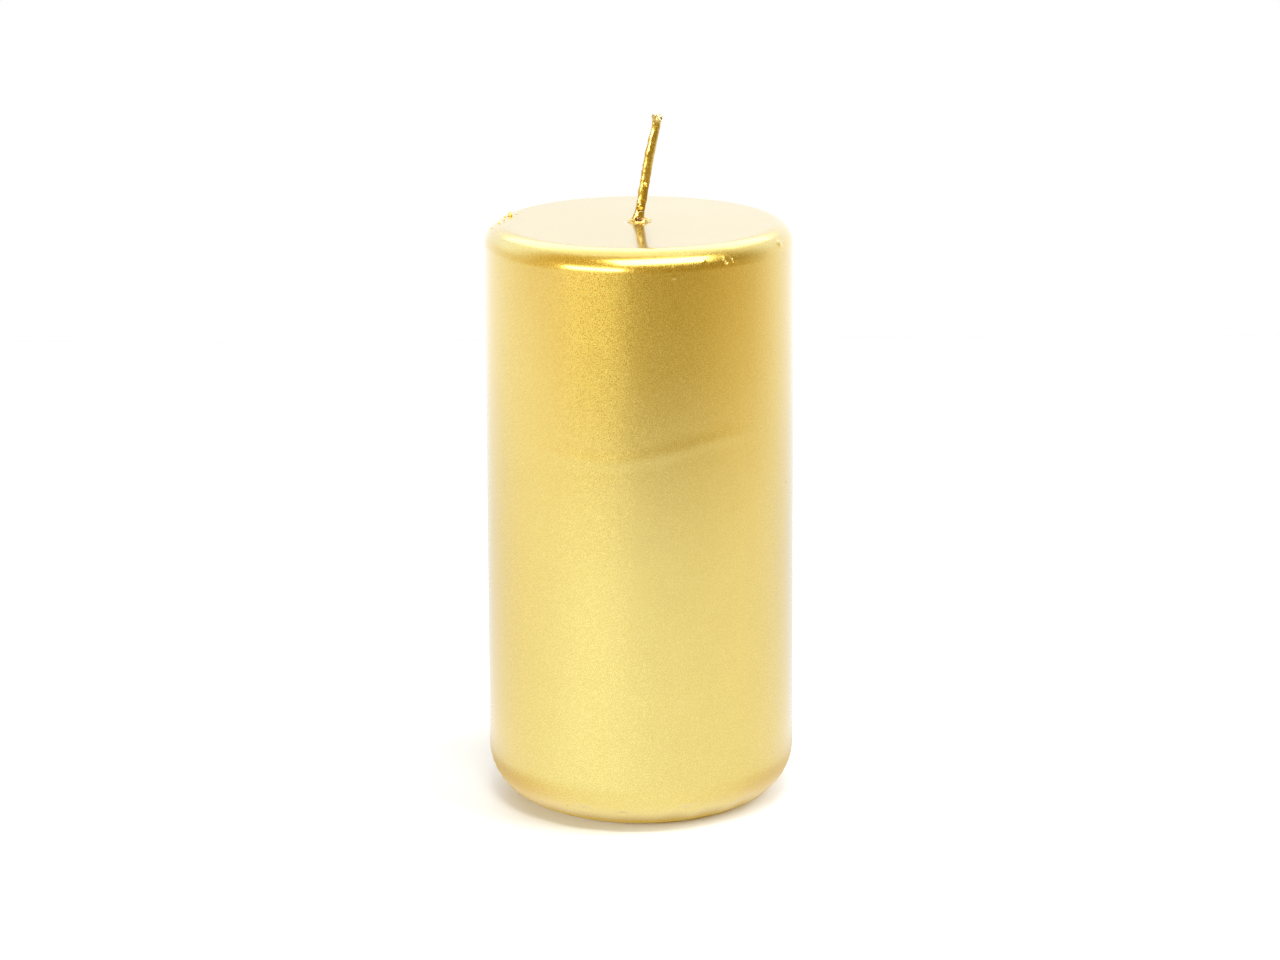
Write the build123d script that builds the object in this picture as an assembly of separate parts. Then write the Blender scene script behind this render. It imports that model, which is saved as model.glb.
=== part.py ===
from build123d import *
import math
import os

# A gold lacquered pillar candle. Millimetres, +Z up. The origin is the centre of the base, on the
# surface that the candle stands on. The plaited wick lies in the XZ plane and leans towards +X.

# Body of the candle, over its lacquer
height = 130.0                # base to flat top
top_radius = 33.8             # side wall, where it meets the shoulder
foot_radius = 34.15           # side wall, where it meets the foot: the dip runs down and sets thicker
shoulder_round = 4.6
foot_round = 11.4

# Layers
lacquer_thickness = 0.12
jacket_thickness = 1.6
lacquer_end_angle = 80.0      # degrees round the foot from the wall, where the lacquer film stops
bared_core_radius = 16.5      # the base is levelled on a hot plate, which bares this much of the core

# Wick: three strands in a flat plait
strand_diameter = 0.50
plait_half_width = 0.74       # sideways swing of a strand's centre, before its bends are rounded
plait_half_thickness = 0.46
plait_pitch = 4.5             # one strand's whole way across the wick and back
steps_per_pitch = 6
strand_bend_radius = 0.6
strand_end_steps = [0, 1, 0]  # steps by which each strand falls short at the frayed tip
wick_width = 1.94             # oblong hole that the plait fits in
wick_thickness = 1.36
wick_corner_radius = 0.60
wick_foot_z = 0.2

# Route of the wick above the flat top: offset towards +X and rise above the top
wick_route = [(0.0, 0.9), (2.45, 14.8), (3.80, 20.6), (4.15, 23.3)]
wick_route_radii = [8.0, 30.0, 14.0]

# Film on the free end of the wick, and the collar of wax at its foot
sleeve_thickness = 0.12
sleeve_start_rise = 1.2       # the film has cracked away below this
sleeve_end_gap = 0.7          # bare plait at the tip
collar_radius = 2.1
collar_height = 0.75
collar_crest_radius = 1.5
collar_edge = 0.12

# Core
bore_radius = 1.25

# Sustainer: a tinplate disc with a neck crimped on the wick
sustainer_radius = 9.0
sustainer_sheet = 0.3
sustainer_recess = 0.4        # depth of the pocket in the base that the disc sits in
sustainer_neck_rise = 5.0

top_z = height
sustainer_neck_top = sustainer_recess + sustainer_neck_rise


def polar(centre, radius, angle):
    """Point at a radius and an angle, in radians from the outward direction, round a centre."""
    return (centre[0] + radius * math.cos(angle), centre[1] + radius * math.sin(angle))


def half_section(inset):
    """Half section of the candle's body in the XZ plane, with its surface moved in by inset."""
    foot_centre = (foot_radius - foot_round, foot_round)
    shoulder_centre = (top_radius - shoulder_round, height - shoulder_round)
    foot_arc = foot_round - inset
    shoulder_arc = shoulder_round - inset
    draft = math.atan2(foot_radius - top_radius, shoulder_centre[1] - foot_centre[1])
    foot_low = polar(foot_centre, foot_arc, -math.pi / 2)
    foot_middle = polar(foot_centre, foot_arc, (draft - math.pi / 2) / 2)
    foot_high = polar(foot_centre, foot_arc, draft)
    shoulder_low = polar(shoulder_centre, shoulder_arc, draft)
    shoulder_middle = polar(shoulder_centre, shoulder_arc, (draft + math.pi / 2) / 2)
    shoulder_high = polar(shoulder_centre, shoulder_arc, math.pi / 2)
    outline = [
        Line((0, inset), foot_low),
        ThreePointArc(foot_low, foot_middle, foot_high),
        Line(foot_high, shoulder_low),
        ThreePointArc(shoulder_low, shoulder_middle, shoulder_high),
        Line(shoulder_high, (0, height - inset)),
        Line((0, height - inset), (0, inset)),
    ]
    return Plane.XZ * make_face(outline)


def ring_section(inner_radius, outer_radius, low_z, high_z):
    """Rectangle in the XZ plane, which sweeps out a ring or a disc."""
    centre = ((inner_radius + outer_radius) / 2, (low_z + high_z) / 2)
    return Plane.XZ * Pos(*centre) * Rectangle(outer_radius - inner_radius, high_z - low_z)


def turned(section):
    """Solid of revolution of a half section about the candle's axis."""
    return revolve(section, axis=Axis.Z)


def wick_line():
    """Centre line of the wick: straight up through the candle, then leaning, in easy bends."""
    free_end = [(offset, 0, top_z + rise) for offset, rise in wick_route]
    return FilletPolyline((0, 0, wick_foot_z), *free_end, radius=wick_route_radii)


def oblong(growth):
    """Oblong section of the wick, with its long side along X, grown on every side."""
    return RectangleRounded(
        wick_width + 2 * growth,
        wick_thickness + 2 * growth,
        wick_corner_radius + growth,
    )


def along_wick(line, growth):
    """Solid of the wick's oblong section, grown on every side, along a line."""
    start = Plane(line @ 0, x_dir=(1, 0, 0), z_dir=line % 0)
    return sweep(start * oblong(growth), path=line)


def strand(line, number):
    """One strand of the plait: it swings from edge to edge once, and from face to face twice."""
    step = plait_pitch / steps_per_pitch
    steps = int(line.length / step) - strand_end_steps[number]
    points = []
    for index in range(steps + 1):
        share = index * step / line.length
        phase = 2 * math.pi * ((index + 0.5) / steps_per_pitch + number / 3)
        along = line % share
        sideways = Vector(along.Z, 0, -along.X) * plait_half_width * math.sin(phase)
        outwards = Vector(0, 1, 0) * plait_half_thickness * math.sin(2 * phase)
        points.append(line @ share + sideways + outwards)
    path = FilletPolyline(*points, radius=strand_bend_radius)
    start = Plane(path @ 0, z_dir=path % 0)
    return sweep(start * Circle(strand_diameter / 2), path=path)


def collar_section():
    """Half section of the ring of wax: a rounded crest with a hollow slope down to the flat top."""
    toe = (collar_radius, collar_edge)
    crest = (collar_crest_radius, collar_height)
    slope_middle = (
        (toe[0] + crest[0]) / 2 - collar_edge,
        (toe[1] + crest[1]) / 2 - collar_edge,
    )
    outline = [
        Line((0, 0), (collar_radius, 0)),
        Line((collar_radius, 0), toe),
        ThreePointArc(toe, slope_middle, crest),
        Line(crest, (0, collar_height)),
        Line((0, collar_height), (0, 0)),
    ]
    return Plane.XZ * Pos(0, top_z) * make_face(outline)


# Body: the layers share one outer shape, and the lacquer stops short of the base
foot_centre_radius = foot_radius - foot_round
lacquer_end_radius = polar(
    (foot_centre_radius, 0), foot_round, math.radians(-lacquer_end_angle)
)[0]
whole_section = half_section(0)
core_section = half_section(lacquer_thickness + jacket_thickness)
bared_section = ring_section(0, bared_core_radius, 0, lacquer_thickness + jacket_thickness)
unlacquered_section = ring_section(0, lacquer_end_radius, -1, foot_round / 4)
lacquer_section = whole_section - half_section(lacquer_thickness) - unlacquered_section
jacket_section = whole_section - lacquer_section - core_section - bared_section

wick = wick_line()
wick_hole = along_wick(wick, 0)
bore = Pos(0, 0, height / 2) * Cylinder(bore_radius, height)

# Sustainer
disc = turned(ring_section(0, sustainer_radius, sustainer_recess - sustainer_sheet, sustainer_recess))
neck = Pos(0, 0, sustainer_recess) * extrude(oblong(sustainer_sheet), sustainer_neck_rise)
wick_way = extrude(oblong(0), sustainer_neck_top)
pocket = turned(ring_section(0, sustainer_radius, 0, sustainer_recess))

# Sleeve on the free end of the wick
sleeve_start = (top_z + sleeve_start_rise - wick_foot_z) / wick.length
sleeve_end = 1 - sleeve_end_gap / wick.length
sleeve_line = wick.trim(sleeve_start, sleeve_end)

parts = {
    "wax_core": turned(core_section + bared_section) - bore - neck - pocket,
    "overdip_jacket": turned(jacket_section) - wick_hole,
    "lacquer_coat": turned(lacquer_section) - wick_hole,
    "wick_sustainer": disc + neck - wick_way,
    "wick_collar": turned(collar_section()) - wick_hole,
    "wick_sleeve": along_wick(sleeve_line, sleeve_thickness) - along_wick(sleeve_line, 0),
}
for number in range(3):
    parts[f"wick_strand_{number + 1}"] = strand(wick, number)

os.makedirs("parts", exist_ok=True)
for node, shape in parts.items():
    export_step(shape, f"parts/{node}.step")
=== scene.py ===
import math

import bpy
import numpy as np
from mathutils import Euler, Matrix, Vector


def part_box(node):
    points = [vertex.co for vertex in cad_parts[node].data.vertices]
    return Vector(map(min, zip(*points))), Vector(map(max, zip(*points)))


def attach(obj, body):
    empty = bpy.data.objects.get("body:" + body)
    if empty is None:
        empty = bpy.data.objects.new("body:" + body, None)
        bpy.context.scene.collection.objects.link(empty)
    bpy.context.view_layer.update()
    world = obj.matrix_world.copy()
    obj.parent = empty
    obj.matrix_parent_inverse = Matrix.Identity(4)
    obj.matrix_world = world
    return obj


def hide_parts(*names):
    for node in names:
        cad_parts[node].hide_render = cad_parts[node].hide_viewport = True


# A gold lacquered pillar candle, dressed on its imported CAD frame.
# The frame is in metres. Lengths here are in millimetres, and MM turns them into metres.
# Azimuth 0 is the front, which faces -Y, and azimuth grows towards +X. The wick leans to +X.

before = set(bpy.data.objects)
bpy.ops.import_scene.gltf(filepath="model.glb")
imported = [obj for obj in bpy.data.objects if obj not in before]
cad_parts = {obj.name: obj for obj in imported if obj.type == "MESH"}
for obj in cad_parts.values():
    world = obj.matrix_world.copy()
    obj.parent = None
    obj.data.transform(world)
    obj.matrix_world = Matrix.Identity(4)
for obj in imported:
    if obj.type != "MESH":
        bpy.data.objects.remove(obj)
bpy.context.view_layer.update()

MM = 0.001
BODY = "root"

# ------------------------------------------------------------------ driving dimensions

_, lacquer_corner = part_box("lacquer_coat")
HEIGHT = lacquer_corner.z / MM
FOOT_RADIUS = lacquer_corner.x / MM
WALL_TAPER = 0.35             # the dip runs down, so the foot is that much wider than the top
TOP_RADIUS = FOOT_RADIUS - WALL_TAPER
SHOULDER_ROUND = 4.6
FOOT_ROUND = 11.4
FILM_THICKNESS = 0.12
FILM_SHARE = 0.9              # of that thickness is meshed, which keeps it clear of the wax
FILM_END_ANGLE = 80.0         # degrees round the foot from the wall, where the film stops
WICK_HOLE_RADIUS = 1.0

THROUGH = np.array((0.0, 1.0, 0.0))     # across the thin side of the wick, towards the back
STRANDS = 3
STRAND_RADIUS = 0.25
PLAIT_HALF_WIDTH = 0.69
PLAIT_HALF_THICKNESS = 0.40
PLAIT_PITCH = 4.5
PLAIT_START_PHASE = 1 / 12    # in turns, where the first strand starts
WICK_FOOT_Z = 0.2
WICK_ROUTE = [(0.0, 0.9), (2.45, 14.8), (3.80, 20.6), (4.15, 23.3)]  # offset, rise above the top
WICK_ROUTE_RADII = [8.0, 30.0]

# ------------------------------------------------------------------ helpers for shapes


def smoothstep(low, high, value):
    """0 below low and 1 above high, with an easy turn at both ends."""
    t = np.clip((value - low) / (high - low), 0.0, 1.0)
    return t * t * (3 - 2 * t)


NOISE_WAVES = 24
NOISE_SPREAD = (0.7, 1.5)     # of the wavelengths that make up a noise
NOISE_MIDDLE = (0.3, 0.7)     # which a noise texture hardly leaves


def soft_noise(points, wavelength, seed):
    """Smooth random field of about unit size over points, whose last axis is their coordinates."""
    draw = np.random.default_rng(seed)
    directions = draw.normal(size=(NOISE_WAVES, points.shape[-1]))
    directions /= np.linalg.norm(directions, axis=1)[:, None]
    lengths = wavelength * draw.uniform(*NOISE_SPREAD, NOISE_WAVES)
    phases = draw.uniform(0, 2 * math.pi, NOISE_WAVES)
    angles = points @ (directions / lengths[:, None]).T * 2 * math.pi + phases
    return np.cos(angles).sum(axis=-1) * math.sqrt(2 / NOISE_WAVES)


def ragged(points, height, wavelength, seed, limit=np.inf):
    """Smooth random field of a given height, held within a limit."""
    return np.clip(height * soft_noise(points, wavelength, seed), -limit, limit)


def pointing(around, up):
    """Unit vector at an azimuth and an elevation, in radians."""
    return np.stack([np.sin(around) * np.cos(up), -np.cos(around) * np.cos(up), np.sin(up)], axis=-1)


def on_ring(around, radius, height):
    """Point at an azimuth in radians, round the candle's axis."""
    return np.stack([np.sin(around) * radius, -np.cos(around) * radius, height], axis=-1)


def round_angles(sides):
    return np.linspace(0, 2 * math.pi, sides, endpoint=False)


def round_points(sides):
    """Points of a unit circle."""
    angles = round_angles(sides)
    return np.stack([np.cos(angles), np.sin(angles)], axis=-1)


def ring_faces(rings, sides, wrap=False):
    """Faces between rings of vertices. wrap joins the last ring to the first."""
    faces = []
    for ring in range(rings if wrap else rings - 1):
        upper = (ring + 1) % rings
        for side in range(sides):
            right = (side + 1) % sides
            faces.append((
                ring * sides + side, ring * sides + right,
                upper * sides + right, upper * sides + side,
            ))
    return faces


def make_piece(name, vertices, faces, material, slot, *nodes):
    """Mesh object from vertices in millimetres, riding on the candle in place of CAD nodes."""
    mesh = bpy.data.meshes.new(name)
    mesh.from_pydata((np.asarray(vertices) * MM).tolist(), [], faces)
    mesh.validate()
    mesh.shade_smooth()
    mesh.materials.append(material)
    piece = bpy.data.objects.new(name, mesh)
    bpy.context.scene.collection.objects.link(piece)
    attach(piece, BODY)
    if nodes:
        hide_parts(*nodes)
    return piece


def shell_faces(kept):
    """Faces of a thin closed shell over a grid whose columns run round. Outer vertices come
    first, then inner ones. kept says which cells have film, and each edge of film is closed."""
    rows, columns = kept.shape
    inner_start = (rows + 1) * columns
    faces = []
    for row in range(rows):
        for column in range(columns):
            if not kept[row, column]:
                continue
            right = (column + 1) % columns
            a, b = row * columns + column, row * columns + right
            d, c = a + columns, b + columns
            faces.append((a, b, c, d))
            faces.append((d + inner_start, c + inner_start, b + inner_start, a + inner_start))
            if row == 0 or not kept[row - 1, column]:
                faces.append((b, a, a + inner_start, b + inner_start))
            if row == rows - 1 or not kept[row + 1, column]:
                faces.append((d, c, c + inner_start, d + inner_start))
            if not kept[row, column - 1]:
                faces.append((a, d, d + inner_start, a + inner_start))
            if not kept[row, right]:
                faces.append((c, b, b + inner_start, c + inner_start))
    return faces


def compact(vertices, faces):
    """Drops vertices that no face uses."""
    used = np.unique(np.concatenate([np.array(face) for face in faces]))
    place = np.full(len(vertices), -1)
    place[used] = np.arange(len(used))
    return vertices[used], [tuple(int(place[v]) for v in face) for face in faces]


STEP_GROWTH = 0.18            # widening of a mesh step with the distance from a fine zone


def uneven_steps(start, end, coarse, zones):
    """Values from start to end, at each zone's own fine step inside it, widening to coarse."""
    values = [start]
    while values[-1] < end:
        here = values[-1]
        steps = [fine + STEP_GROWTH * max(low - here, here - high, 0.0) for low, high, fine in zones]
        values.append(here + min(coarse, *steps))
    values = np.array(values)
    return start + (values - start) * (end - start) / (values[-1] - start)


# ------------------------------------------------------------------ helpers for materials


class Nodes:
    """Shader nodes in the making."""

    MIX_FIRST, MIX_SECOND, MIX_RESULT = 6, 7, 2     # sockets of a mix of colours

    def __init__(self, tree):
        self.tree = tree

    def fill(self, socket, value):
        """Links a socket to another one, or sets it to a value. None leaves it alone."""
        if isinstance(value, bpy.types.NodeSocket):
            self.tree.links.new(value, socket)
        elif value is not None:
            socket.default_value = value

    def node(self, kind, settings=None, *inputs, **named):
        """New node. Its inputs, in order or by name, are sockets to link or values to set."""
        made = self.tree.nodes.new(kind)
        for setting, value in (settings or {}).items():
            setattr(made, setting, value)
        for socket, value in zip(made.inputs, inputs):
            self.fill(socket, value)
        for name, value in named.items():
            self.fill(made.inputs[name.replace("_", " ")], value)
        return made

    def mix(self, factor, first, second):
        """Colour between two colours."""
        made = self.node("ShaderNodeMix", {"data_type": "RGBA"}, factor)
        self.fill(made.inputs[self.MIX_FIRST], first)
        self.fill(made.inputs[self.MIX_SECOND], second)
        return made.outputs[self.MIX_RESULT]

    def spread(self, value, low, high, out_low=0.0, out_high=1.0):
        """Value mapped from one range to another, with an easy turn at both ends of it."""
        return self.node(
            "ShaderNodeMapRange", {"interpolation_type": "SMOOTHSTEP"},
            value, low, high, out_low, out_high,
        ).outputs[0]


class PieceShader(Nodes):
    """A Principled material in the making. Its textures are in millimetres on the object."""

    def __init__(self, name, **constants):
        self.material = bpy.data.materials.new(name)
        self.material.use_nodes = True
        super().__init__(self.material.node_tree)
        self.principled = self.tree.nodes["Principled BSDF"]
        for socket, value in constants.items():
            self.principled.inputs[socket.replace("_", " ")].default_value = value
        self.place = self.node("ShaderNodeTexCoord").outputs["Object"]

    def noise(self, size, detail=2.0, roughness=0.5, stretch=None):
        """Noise with features of about that size in millimetres."""
        place = self.place
        if stretch:
            place = self.node("ShaderNodeMapping", Vector=place, Scale=stretch).outputs[0]
        return self.node(
            "ShaderNodeTexNoise", Vector=place, Scale=1 / (size * MM), Detail=detail,
            Roughness=roughness,
        ).outputs["Fac"]

    def colour(self, socket):
        self.fill(self.principled.inputs["Base Color"], socket)

    def rough(self, noise, low, high):
        """Roughness that follows a noise from low to high."""
        self.fill(self.principled.inputs["Roughness"], self.spread(noise, *NOISE_MIDDLE, low, high))

    def bump(self, *layers):
        """Bumps from (height socket, height in millimetres) layers, coarse to fine."""
        normal = None
        for height, depth in layers:
            normal = self.node(
                "ShaderNodeBump", Height=height, Distance=depth * MM, Strength=1.0, Normal=normal,
            ).outputs["Normal"]
        self.fill(self.principled.inputs["Normal"], normal)


def rgb(red, green, blue):
    """Colour for a socket, from linear values."""
    return (red, green, blue, 1.0)


# ------------------------------------------------------------------ materials


def gold_lacquer():
    """Metallic lacquer: fine gold flakes in a clear binder, which sets glossy."""
    shader = PieceShader(
        "gold_lacquer", Metallic=1.0, Coat_Weight=1.0, Coat_Roughness=0.10, Coat_IOR=1.60,
    )
    flakes = shader.noise(0.20, detail=2.0, roughness=0.6)
    clouds = shader.noise(9.0, detail=2.0)
    even = shader.mix(clouds, rgb(0.575, 0.425, 0.075), rgb(0.615, 0.460, 0.090))
    bright = shader.mix(shader.spread(flakes, 0.42, 0.70), even, rgb(0.76, 0.59, 0.16))
    shader.colour(bright)
    shader.rough(flakes, 0.23, 0.31)
    shader.bump((clouds, 0.015), (flakes, 0.0032))
    return shader.material


def dyed_wax():
    """Hard orange wax under the lacquer."""
    shader = PieceShader(
        "dyed_wax", Subsurface_Weight=0.4, Subsurface_Scale=0.002, Subsurface_Radius=(1.0, 0.5, 0.2),
        IOR=1.44,
    )
    cloud = shader.noise(3.0, detail=4.0)
    shader.colour(shader.mix(cloud, rgb(0.72, 0.38, 0.06), rgb(0.86, 0.52, 0.12)))
    shader.rough(cloud, 0.38, 0.55)
    shader.bump((cloud, 0.05))
    return shader.material


def crumb_wax():
    """Crumbs of the orange wax, smeared with gold."""
    shader = PieceShader("crumb_wax", IOR=1.44)
    smear = shader.noise(0.45, detail=3.0)
    gold = shader.spread(smear, 0.50, 0.64)
    shader.colour(shader.mix(gold, rgb(0.92, 0.62, 0.10), rgb(0.84, 0.66, 0.22)))
    shader.fill(shader.principled.inputs["Metallic"], gold)
    shader.rough(smear, 0.5, 0.28)
    shader.bump((smear, 0.03))
    return shader.material


def paraffin():
    """Pale core wax, with the fine mottle that it sets with."""
    shader = PieceShader(
        "paraffin", Subsurface_Weight=0.6, Subsurface_Scale=0.004, Subsurface_Radius=(1.0, 0.8, 0.6),
        IOR=1.44,
    )
    mottle = shader.noise(2.2, detail=5.0, roughness=0.6)
    shader.colour(shader.mix(mottle, rgb(0.78, 0.72, 0.58), rgb(0.88, 0.84, 0.72)))
    shader.rough(mottle, 0.42, 0.6)
    shader.bump((mottle, 0.06))
    return shader.material


def tinplate():
    """Thin tinned sheet: bright, with faint rolling lines."""
    shader = PieceShader("tinplate", Metallic=1.0)
    grain = shader.noise(0.5, detail=3.0, stretch=(0.12, 1.0, 1.0))
    spangle = shader.noise(2.5, detail=2.0)
    shader.colour(shader.mix(spangle, rgb(0.56, 0.57, 0.58), rgb(0.70, 0.70, 0.69)))
    shader.rough(grain, 0.22, 0.38)
    shader.bump((grain, 0.004))
    return shader.material


BROWN_FADE_RISE = (1.2, 6.0)       # above the top, where the yarn's darker brown fades out


def cotton():
    """Waxed cotton yarn: cream at the cut tip, and darker brown low down, in the collar."""
    shader = PieceShader("cotton", Sheen_Weight=0.3, Sheen_Roughness=0.5)
    fibre = shader.noise(0.12, detail=3.0)
    clean = shader.mix(fibre, rgb(0.78, 0.63, 0.30), rgb(0.95, 0.86, 0.58))
    # Darker brown low down on the wick, in the collar, fading to cream higher up
    brown_low = shader.mix(fibre, rgb(0.26, 0.10, 0.03), rgb(0.42, 0.19, 0.06))
    rise = shader.node("ShaderNodeSeparateXYZ", Vector=shader.place).outputs["Z"]
    above = shader.spread(rise, *((HEIGHT + fading) * MM for fading in BROWN_FADE_RISE))
    shader.colour(shader.mix(above, brown_low, clean))
    shader.rough(fibre, 0.6, 0.85)
    shader.bump((fibre, 0.03))
    return shader.material


def wick_lacquer():
    """The same lacquer on the wick, where it lies thicker."""
    shader = PieceShader(
        "wick_lacquer", Metallic=1.0, Coat_Weight=1.0, Coat_Roughness=0.06, Coat_IOR=1.6,
    )
    grain = shader.noise(0.35, detail=3.0, roughness=0.6)
    pools = shader.noise(2.4, detail=2.0)
    pooled = shader.spread(pools, *NOISE_MIDDLE)
    deep = shader.mix(pooled, rgb(0.43, 0.285, 0.040), rgb(0.57, 0.42, 0.085))
    shader.colour(shader.mix(shader.spread(grain, 0.5, 0.8), deep, rgb(0.82, 0.68, 0.30)))
    shader.rough(grain, 0.16, 0.26)
    shader.bump((grain, 0.008))
    return shader.material


def gold_wax():
    """Wax of the collar under a thick run of lacquer."""
    shader = PieceShader(
        "gold_wax", Metallic=1.0, Coat_Weight=1.0, Coat_Roughness=0.05, Coat_IOR=1.5,
    )
    pools = shader.noise(0.8, detail=3.0)
    pooled = shader.spread(pools, *NOISE_MIDDLE)
    shader.colour(shader.mix(pooled, rgb(0.52, 0.33, 0.045), rgb(0.78, 0.58, 0.18)))
    shader.rough(pools, 0.12, 0.24)
    shader.bump((pools, 0.05))
    return shader.material


# ------------------------------------------------------------------ body


class Outline:
    """Outer half section of the candle, measured along itself from the film's lower edge."""

    def __init__(self):
        self.draft = math.atan2(FOOT_RADIUS - TOP_RADIUS, HEIGHT - SHOULDER_ROUND - FOOT_ROUND)
        self.foot_length = FOOT_ROUND * (math.radians(FILM_END_ANGLE) + self.draft)
        self.foot_centre = (FOOT_RADIUS - FOOT_ROUND, FOOT_ROUND)
        self.shoulder_centre = (TOP_RADIUS - SHOULDER_ROUND, HEIGHT - SHOULDER_ROUND)
        self.wall_length = math.hypot(
            FOOT_RADIUS - TOP_RADIUS, self.shoulder_centre[1] - self.foot_centre[1])
        self.wall_end = self.foot_length + self.wall_length
        self.shoulder_end = self.wall_end + SHOULDER_ROUND * (math.pi / 2 - self.draft)
        self.length = self.shoulder_end + self.shoulder_centre[0] - WICK_HOLE_RADIUS

    def at(self, along):
        """Radius, height and elevation of the outward direction at distances along."""
        foot_turn = np.clip(along, 0, self.foot_length) / FOOT_ROUND - math.radians(FILM_END_ANGLE)
        shoulder_turn = np.clip(along - self.wall_end, 0, self.shoulder_end - self.wall_end)
        shoulder_turn = self.draft + shoulder_turn / SHOULDER_ROUND
        on_wall = np.clip(along - self.foot_length, 0, self.wall_length)
        on_flat = np.clip(along - self.shoulder_end, 0, None)
        is_foot = along <= self.foot_length
        is_high = along >= self.wall_end
        turn = np.where(is_foot, foot_turn, np.where(is_high, shoulder_turn, self.draft))
        radius = np.where(is_high, self.shoulder_centre[0], self.foot_centre[0])
        radius = radius + np.where(is_high, SHOULDER_ROUND, FOOT_ROUND) * np.cos(turn)
        radius = radius - np.where(is_high, 0, on_wall) * math.sin(self.draft) - on_flat
        height = np.where(is_high, self.shoulder_centre[1], self.foot_centre[1])
        height = height + np.where(is_high, SHOULDER_ROUND, FOOT_ROUND) * np.sin(turn)
        height = height + np.where(is_high, 0, on_wall) * math.cos(self.draft)
        return radius, height, turn

    def on_wall(self, height):
        """Place on the side wall at a height."""
        return self.foot_length + (height - self.foot_centre[1]) / math.cos(self.draft)

    def on_shoulder(self, from_vertical):
        """Place where the outward direction is that many degrees from straight up."""
        return self.wall_end + SHOULDER_ROUND * (math.radians(90 - from_vertical) - self.draft)

    def on_foot(self, height):
        """Place on the rounded foot at a height."""
        turn = math.asin((height - FOOT_ROUND) / FOOT_ROUND)
        return FOOT_ROUND * (turn + math.radians(FILM_END_ANGLE))

    def on_flat(self, radius):
        """Place on the flat top at a radius."""
        return self.shoulder_end + self.shoulder_centre[0] - radius


OUTLINE = Outline()

# Chips in the film: azimuth, place along the outline, half widths across and along
CHIPS = [
    (-103, OUTLINE.on_shoulder(3), 0.42, 0.50),
    (33, OUTLINE.on_shoulder(75), 0.56, 0.42),
    (35.6, OUTLINE.on_shoulder(68), 0.24, 0.20),
]
CHIP_EDGE = (1.15, 0.30)      # where the film lifts round a chip, and how widely
CHIP_EDGE_LIFT = 0.09
CHIP_RAGGED = (0.25, 0.9, 21, 0.45)     # height, wavelength, seed and limit of its ragged outline
NO_CHIP = 9.0                 # field far from any chip or crack, which are where it is under 1
DEEPEST = -0.09               # any deeper, and the wax would show through the film

# Specks, pits (-) and bumps (+): azimuth, place along the outline, height, half widths
MARKS = [
    (-89, OUTLINE.on_shoulder(1), -0.10, 0.32, 0.22),
    (-86, OUTLINE.on_shoulder(21), -0.10, 0.32, 0.20),
    (-87, OUTLINE.on_shoulder(44), -0.10, 0.24, 0.26),
    (-94, OUTLINE.on_shoulder(2), -0.06, 0.20, 0.20),
    (-99, OUTLINE.on_flat(27.9), 0.08, 0.16, 0.34),
    (-108, OUTLINE.on_flat(28.0), 0.08, 0.24, 0.16),
    (-113, OUTLINE.on_flat(27.2), 0.05, 0.20, 0.16),
    (-17.5, OUTLINE.on_shoulder(57), 0.06, 0.24, 0.20),
    (-15.5, OUTLINE.on_shoulder(59), 0.05, 0.20, 0.20),
    (12.3, OUTLINE.on_shoulder(79), 0.10, 0.24, 0.22),
    (12.6, OUTLINE.on_wall(124.3), 0.10, 0.24, 0.24),
    (24, OUTLINE.on_shoulder(66), 0.13, 0.32, 0.26),
    (33, OUTLINE.on_shoulder(60), 0.07, 0.50, 0.30),
    (37, OUTLINE.on_shoulder(77), 0.10, 0.32, 0.28),
    (65, OUTLINE.on_shoulder(60), 0.30, 0.80, 0.62),
    (-30.5, OUTLINE.on_foot(5.3), -0.09, 0.30, 0.24),
    (-22.5, OUTLINE.on_foot(6.8), 0.36, 1.5, 0.75),
    (-22.5, OUTLINE.on_foot(5.2), -0.12, 1.1, 0.42),
    (-7.5, OUTLINE.on_foot(6.0), 0.30, 1.1, 0.65),
    (-7.5, OUTLINE.on_foot(4.7), -0.11, 0.8, 0.38),
    (17.5, OUTLINE.on_foot(7.2), 0.36, 1.5, 0.75),
    (17.5, OUTLINE.on_foot(5.6), -0.12, 1.1, 0.42),
    (5.5, OUTLINE.on_wall(12.4), -0.09, 0.22, 0.22),
]

BODY_SWELLS = [(0.020, 42.0, 11), (0.004, 11.0, 12)]    # height, wavelength, seed

# A soft crease runs across the front. Each of its ends bends away: by how much, and from and to
# which azimuth
CREASE_MIDDLE = 84.2
CREASE_LEFT = (2.0, -52, -13)
CREASE_RIGHT = (4.4, -16, 38)
CREASE_BEGINS = (-66, -34)
CREASE_ENDS = (30, 52)
CREASE_HEIGHT = 0.030
CREASE_HALF_WIDTH = 1.6

# The film is wavy low on the foot, where it dried in runs, which are strongest at the right
FOOT_WAVES = 0.10
FOOT_WAVES_ROUND = 21
FOOT_WAVES_AT = 3.0
FOOT_WAVES_REACH = 2.6
FOOT_WAVES_LEAST = 0.35
RUNS_BEGIN = (5, 22)
RUNS_END = (48, 70)


def turn_from(mark_azimuth, azimuth):
    """Degrees from one azimuth to others, the short way round."""
    return (azimuth - mark_azimuth + 180) % 360 - 180


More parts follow.
